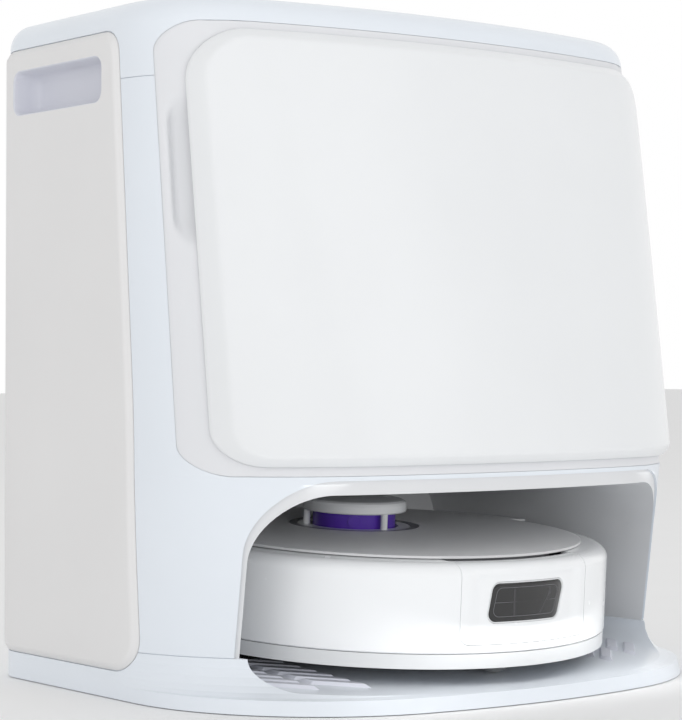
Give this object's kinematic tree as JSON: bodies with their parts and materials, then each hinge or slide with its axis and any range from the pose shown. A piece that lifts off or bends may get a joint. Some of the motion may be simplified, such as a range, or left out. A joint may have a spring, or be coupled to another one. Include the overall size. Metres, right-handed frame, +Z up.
{
  "type": "robot vacuum",
  "caption": "Compact robot vacuum and mop, docked in its all-in-one station with a curved front door, side water tanks and a drive-in garage.",
  "frame": {"origin": "on the floor, at the middle of the station's footprint", "axes": "+Z up, -Y towards the front, where the robot drives out; +X to the right seen from the front"},
  "size_m": [0.41, 0.318, 0.423],
  "materials": {
    "shell_white": "satin gloss",
    "bezel_matte": "fine matte",
    "door_pearl": "pearl gloss",
    "inner_grey": "matte",
    "panel_warm": "satin",
    "cup_grey": "matte",
    "tray_grey": "satin",
    "liner_grey": "matte",
    "robot_white": "gloss",
    "skirt_grey": "matte",
    "deck_grey": "fine matte",
    "drum_violet": "satin",
    "window_black": "gloss",
    "ring_dark": "matte",
    "black_rubber": "matte",
    "steel": "brushed",
    "bag_paper": "nonwoven",
    "tank_clear": "clear",
    "dark_plastic": "matte",
    "board_green": "satin",
    "mop_fabric": "pile"
  },
  "bodies": {
    "station": {"base_tray": "shell_white", "wash_tray": "tray_grey", "traction_ribs": "tray_grey", "housing_shell": "shell_white", "top_cap": "shell_white", "front_bezel": "bezel_matte", "bag_bay": "inner_grey", "dust_duct": "dark_plastic", "suction_motor": "dark_plastic", "machine_floor": "inner_grey", "drying_fan": "inner_grey", "water_pumps": "dark_plastic", "power_board": "board_green", "garage_liner": "liner_grey", "charging_contacts": "steel", "beacon_window": "window_black", "rear_panel": "bezel_matte", "rear_screws": "steel", "power_inlet": "dark_plastic", "station_feet": "black_rubber", "hinge_brackets": "inner_grey"},
    "front_door": {"door_skin": "door_pearl", "door_liner": "inner_grey", "hinge_pins": "steel"},
    "dust_bag": {"dust_bag": "bag_paper", "bag_holder": "inner_grey"},
    "left_tank": {"left_side_panel": "panel_warm", "left_handle_cup": "cup_grey", "left_tank_shell": "tank_clear", "left_tank_lid": "inner_grey"},
    "right_tank": {"right_side_panel": "panel_warm", "right_handle_cup": "cup_grey", "right_tank_shell": "tank_clear", "right_tank_lid": "inner_grey"},
    "robot": {"robot_chassis": "inner_grey", "robot_skirt": "skirt_grey", "robot_frame": "inner_grey", "robot_rear_shell": "robot_white", "charge_plates": "steel", "robot_battery": "dark_plastic", "robot_dustbin": "inner_grey", "robot_fan": "dark_plastic", "robot_board": "board_green", "mop_drive": "inner_grey", "lidar_base": "ring_dark", "lidar_guard": "robot_white"},
    "bumper": {"bumper_shell": "robot_white", "sensor_bezel": "robot_white", "camera_window": "window_black"},
    "deck_plate": {"deck_plate": "deck_grey"},
    "lidar_drum": {"lidar_drum": "drum_violet"},
    "left_wheel_arm": {"left_wheel_arm": "dark_plastic"},
    "left_wheel": {"left_wheel": "black_rubber"},
    "right_wheel_arm": {"right_wheel_arm": "dark_plastic"},
    "right_wheel": {"right_wheel": "black_rubber"},
    "main_brush": {"main_brush": "black_rubber"},
    "side_brush": {"side_brush": "black_rubber"},
    "caster_ball": {"caster_ball": "steel"},
    "left_mop": {"left_mop": "mop_fabric"},
    "right_mop": {"right_mop": "mop_fabric"}
  },
  "joints": [
    {"name": "door_hinge", "type": "hinge", "parent": "station", "child": "front_door", "pos_m": [0.1824, -0.07047, 0.18], "axis": [0, 0.1259, 0.992], "range_deg": [0, 105]},
    {"name": "bag_lift", "type": "slide", "parent": "station", "child": "dust_bag", "axis": [0, 0, 1], "range_m": [0, 0.035]},
    {"name": "left_tank_slide", "type": "slide", "parent": "station", "child": "left_tank", "axis": [-1, 0, 0], "range_m": [0, 0.11]},
    {"name": "right_tank_slide", "type": "slide", "parent": "station", "child": "right_tank", "axis": [1, 0, 0], "range_m": [0, 0.11]},
    {"name": "robot_drive", "type": "slide", "parent": "station", "child": "robot", "axis": [0, -1, 0], "range_m": [0, 0.34]},
    {"name": "bumper_travel", "type": "slide", "parent": "robot", "child": "bumper", "axis": [0, 0.9982, 0.0597], "range_m": [0, 0.004], "stiffness_N_per_m": 500, "springref_m": -0.003},
    {"name": "deck_lift", "type": "slide", "parent": "robot", "child": "deck_plate", "axis": [0, -0.0597, 0.9982], "range_m": [0, 0.012]},
    {"name": "lidar_spin", "type": "hinge", "parent": "robot", "child": "lidar_drum", "pos_m": [0, 0.03149, 0.097], "axis": [0, -0.0597, 0.9982], "continuous": true},
    {"name": "main_brush_spin", "type": "hinge", "parent": "robot", "child": "main_brush", "pos_m": [0, -0.04622, 0.03105], "axis": [1, 0, 0], "continuous": true},
    {"name": "side_brush_spin", "type": "hinge", "parent": "robot", "child": "side_brush", "pos_m": [0.082, -0.08462, 0.01994], "axis": [0, -0.0597, 0.9982], "continuous": true},
    {"name": "caster_roll", "type": "hinge", "parent": "robot", "child": "caster_ball", "pos_m": [0, -0.10791, 0.02415], "axis": [1, 0, 0], "continuous": true},
    {"name": "left_mop_spin", "type": "hinge", "parent": "robot", "child": "left_mop", "pos_m": [-0.0485, 0.08008, 0.02978], "axis": [0, -0.0597, 0.9982], "continuous": true},
    {"name": "right_mop_spin", "type": "hinge", "parent": "robot", "child": "right_mop", "pos_m": [0.0485, 0.08008, 0.02978], "axis": [0, -0.0597, 0.9982], "continuous": true},
    {"name": "left_arm_swing", "type": "hinge", "parent": "robot", "child": "left_wheel_arm", "pos_m": [-0.11, -0.03518, 0.04754], "axis": [1, 0, 0], "range_deg": [0, 6], "stiffness_Nm_per_rad": 1, "springref_deg": -17.19},
    {"name": "left_wheel_spin", "type": "hinge", "parent": "left_wheel_arm", "child": "left_wheel", "pos_m": [-0.11, -0.00124, 0.04956], "axis": [1, 0, 0], "continuous": true},
    {"name": "right_arm_swing", "type": "hinge", "parent": "robot", "child": "right_wheel_arm", "pos_m": [0.11, -0.03518, 0.04754], "axis": [1, 0, 0], "range_deg": [0, 6], "stiffness_Nm_per_rad": 1, "springref_deg": -17.19},
    {"name": "right_wheel_spin", "type": "hinge", "parent": "right_wheel_arm", "child": "right_wheel", "pos_m": [0.11, -0.00124, 0.04956], "axis": [1, 0, 0], "continuous": true}
  ],
  "couplings": [
    {"joint": "right_mop_spin", "follows": "left_mop_spin", "ratio": -1}
  ]
}
